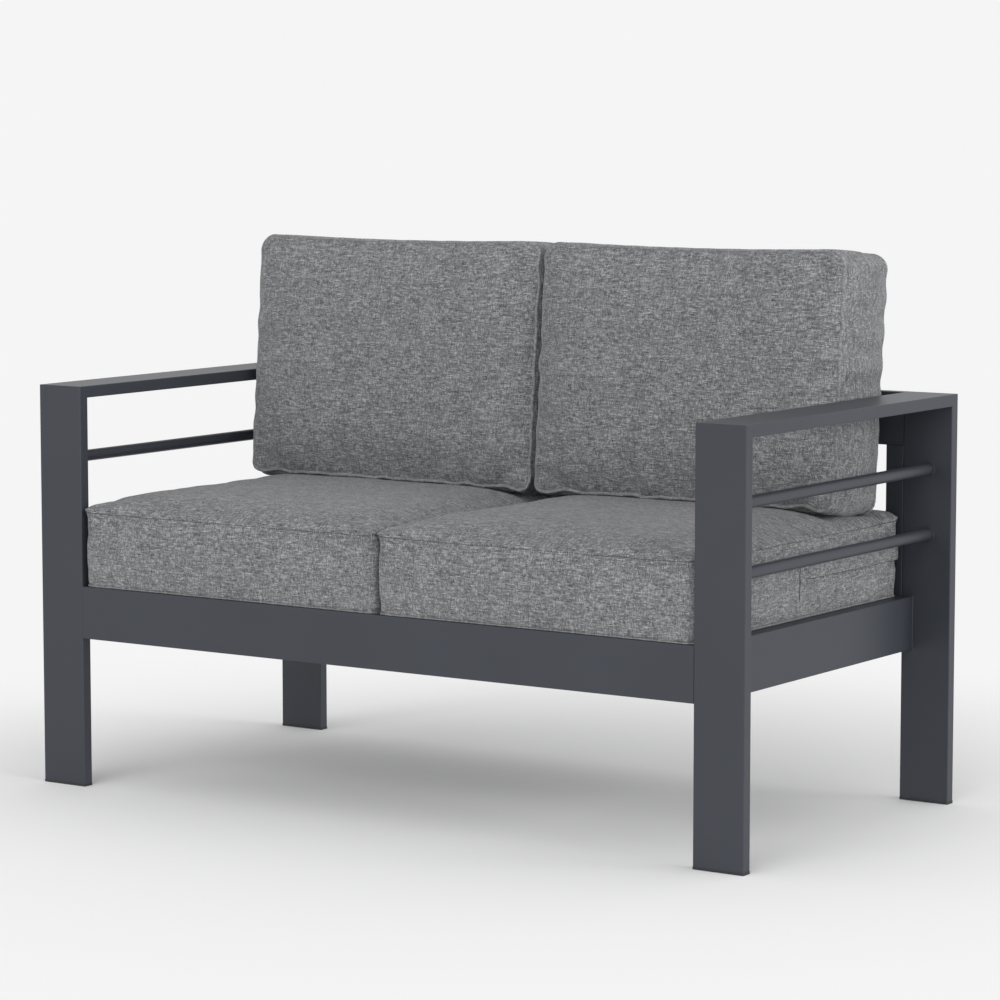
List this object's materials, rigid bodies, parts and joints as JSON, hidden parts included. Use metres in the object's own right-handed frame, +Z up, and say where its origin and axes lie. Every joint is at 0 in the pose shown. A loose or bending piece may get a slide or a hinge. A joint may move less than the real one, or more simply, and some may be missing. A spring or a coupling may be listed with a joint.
{
  "type": "patio loveseat",
  "caption": "Outdoor loveseat with open arm frames of flat tube, a slatted seat deck and back panel, and loose boxed seat and back cushions in zipped covers.",
  "frame": {"origin": "on the floor, midway between the four feet", "axes": "+X to the right as seen from the front, +Y to the rear, +Z up"},
  "size_m": [1.281, 0.643, 0.8496],
  "materials": {
    "powder_coat": "satin",
    "foot_plastic": "matte",
    "fastener_steel": "satin",
    "cover_fabric": "matte",
    "piping_fabric": "matte",
    "foam": "matte",
    "zip_tape": "matte",
    "zip_slider": "satin"
  },
  "bodies": {
    "frame": {"left_front_leg": "powder_coat", "left_front_foot": "foot_plastic", "left_rear_leg": "powder_coat", "left_rear_foot": "foot_plastic", "left_armrest": "powder_coat", "left_side_rail": "powder_coat", "left_lower_bar": "powder_coat", "left_upper_bar": "powder_coat", "right_front_leg": "powder_coat", "right_front_foot": "foot_plastic", "right_rear_leg": "powder_coat", "right_rear_foot": "foot_plastic", "right_armrest": "powder_coat", "right_side_rail": "powder_coat", "right_lower_bar": "powder_coat", "right_upper_bar": "powder_coat", "front_apron": "powder_coat", "rear_apron": "powder_coat", "seat_left_beam": "powder_coat", "seat_right_beam": "powder_coat", "seat_cross_beam": "powder_coat", "seat_slat_1": "powder_coat", "seat_slat_2": "powder_coat", "seat_slat_3": "powder_coat", "seat_slat_4": "powder_coat", "seat_slat_5": "powder_coat", "seat_slat_6": "powder_coat", "seat_slat_7": "powder_coat", "back_top_rail": "powder_coat", "back_bottom_rail": "powder_coat", "back_left_stile": "powder_coat", "back_right_stile": "powder_coat", "back_slat_1": "powder_coat", "back_slat_2": "powder_coat", "back_slat_3": "powder_coat", "back_slat_4": "powder_coat", "back_slat_5": "powder_coat", "back_slat_6": "powder_coat", "screws": "fastener_steel", "washers": "fastener_steel", "rivet_nuts": "fastener_steel"},
    "seat_cushion_left": {"seat_cushion_left_cover": "cover_fabric", "seat_cushion_left_core": "foam", "seat_cushion_left_zipper": "zip_tape"},
    "seat_cushion_left_zip": {"seat_cushion_left_slider": "zip_slider"},
    "back_cushion_left": {"back_cushion_left_cover": "cover_fabric", "back_cushion_left_core": "foam", "back_cushion_left_piping": "piping_fabric", "back_cushion_left_zipper": "zip_tape"},
    "back_cushion_left_zip": {"back_cushion_left_slider": "zip_slider"},
    "seat_cushion_right": {"seat_cushion_right_cover": "cover_fabric", "seat_cushion_right_core": "foam", "seat_cushion_right_zipper": "zip_tape"},
    "seat_cushion_right_zip": {"seat_cushion_right_slider": "zip_slider"},
    "back_cushion_right": {"back_cushion_right_cover": "cover_fabric", "back_cushion_right_core": "foam", "back_cushion_right_piping": "piping_fabric", "back_cushion_right_zipper": "zip_tape"},
    "back_cushion_right_zip": {"back_cushion_right_slider": "zip_slider"}
  },
  "joints": [
    {"name": "seat_cushion_left_lift", "type": "slide", "parent": "frame", "child": "seat_cushion_left", "axis": [0, 0, 1], "range_m": [0, 0.36]},
    {"name": "back_cushion_left_lift", "type": "slide", "parent": "seat_cushion_left", "child": "back_cushion_left", "axis": [0, 0, 1], "range_m": [0, 0.25]},
    {"name": "seat_cushion_left_zip_slide", "type": "slide", "parent": "seat_cushion_left", "child": "seat_cushion_left_zip", "axis": [-1, 0, 0], "range_m": [0, 0.486]},
    {"name": "back_cushion_left_zip_slide", "type": "slide", "parent": "back_cushion_left", "child": "back_cushion_left_zip", "axis": [-1, 0, 0], "range_m": [0, 0.459]},
    {"name": "seat_cushion_right_lift", "type": "slide", "parent": "frame", "child": "seat_cushion_right", "axis": [0, 0, 1], "range_m": [0, 0.36]},
    {"name": "back_cushion_right_lift", "type": "slide", "parent": "seat_cushion_right", "child": "back_cushion_right", "axis": [0, 0, 1], "range_m": [0, 0.25]},
    {"name": "seat_cushion_right_zip_slide", "type": "slide", "parent": "seat_cushion_right", "child": "seat_cushion_right_zip", "axis": [1, 0, 0], "range_m": [0, 0.486]},
    {"name": "back_cushion_right_zip_slide", "type": "slide", "parent": "back_cushion_right", "child": "back_cushion_right_zip", "axis": [1, 0, 0], "range_m": [0, 0.459]}
  ]
}
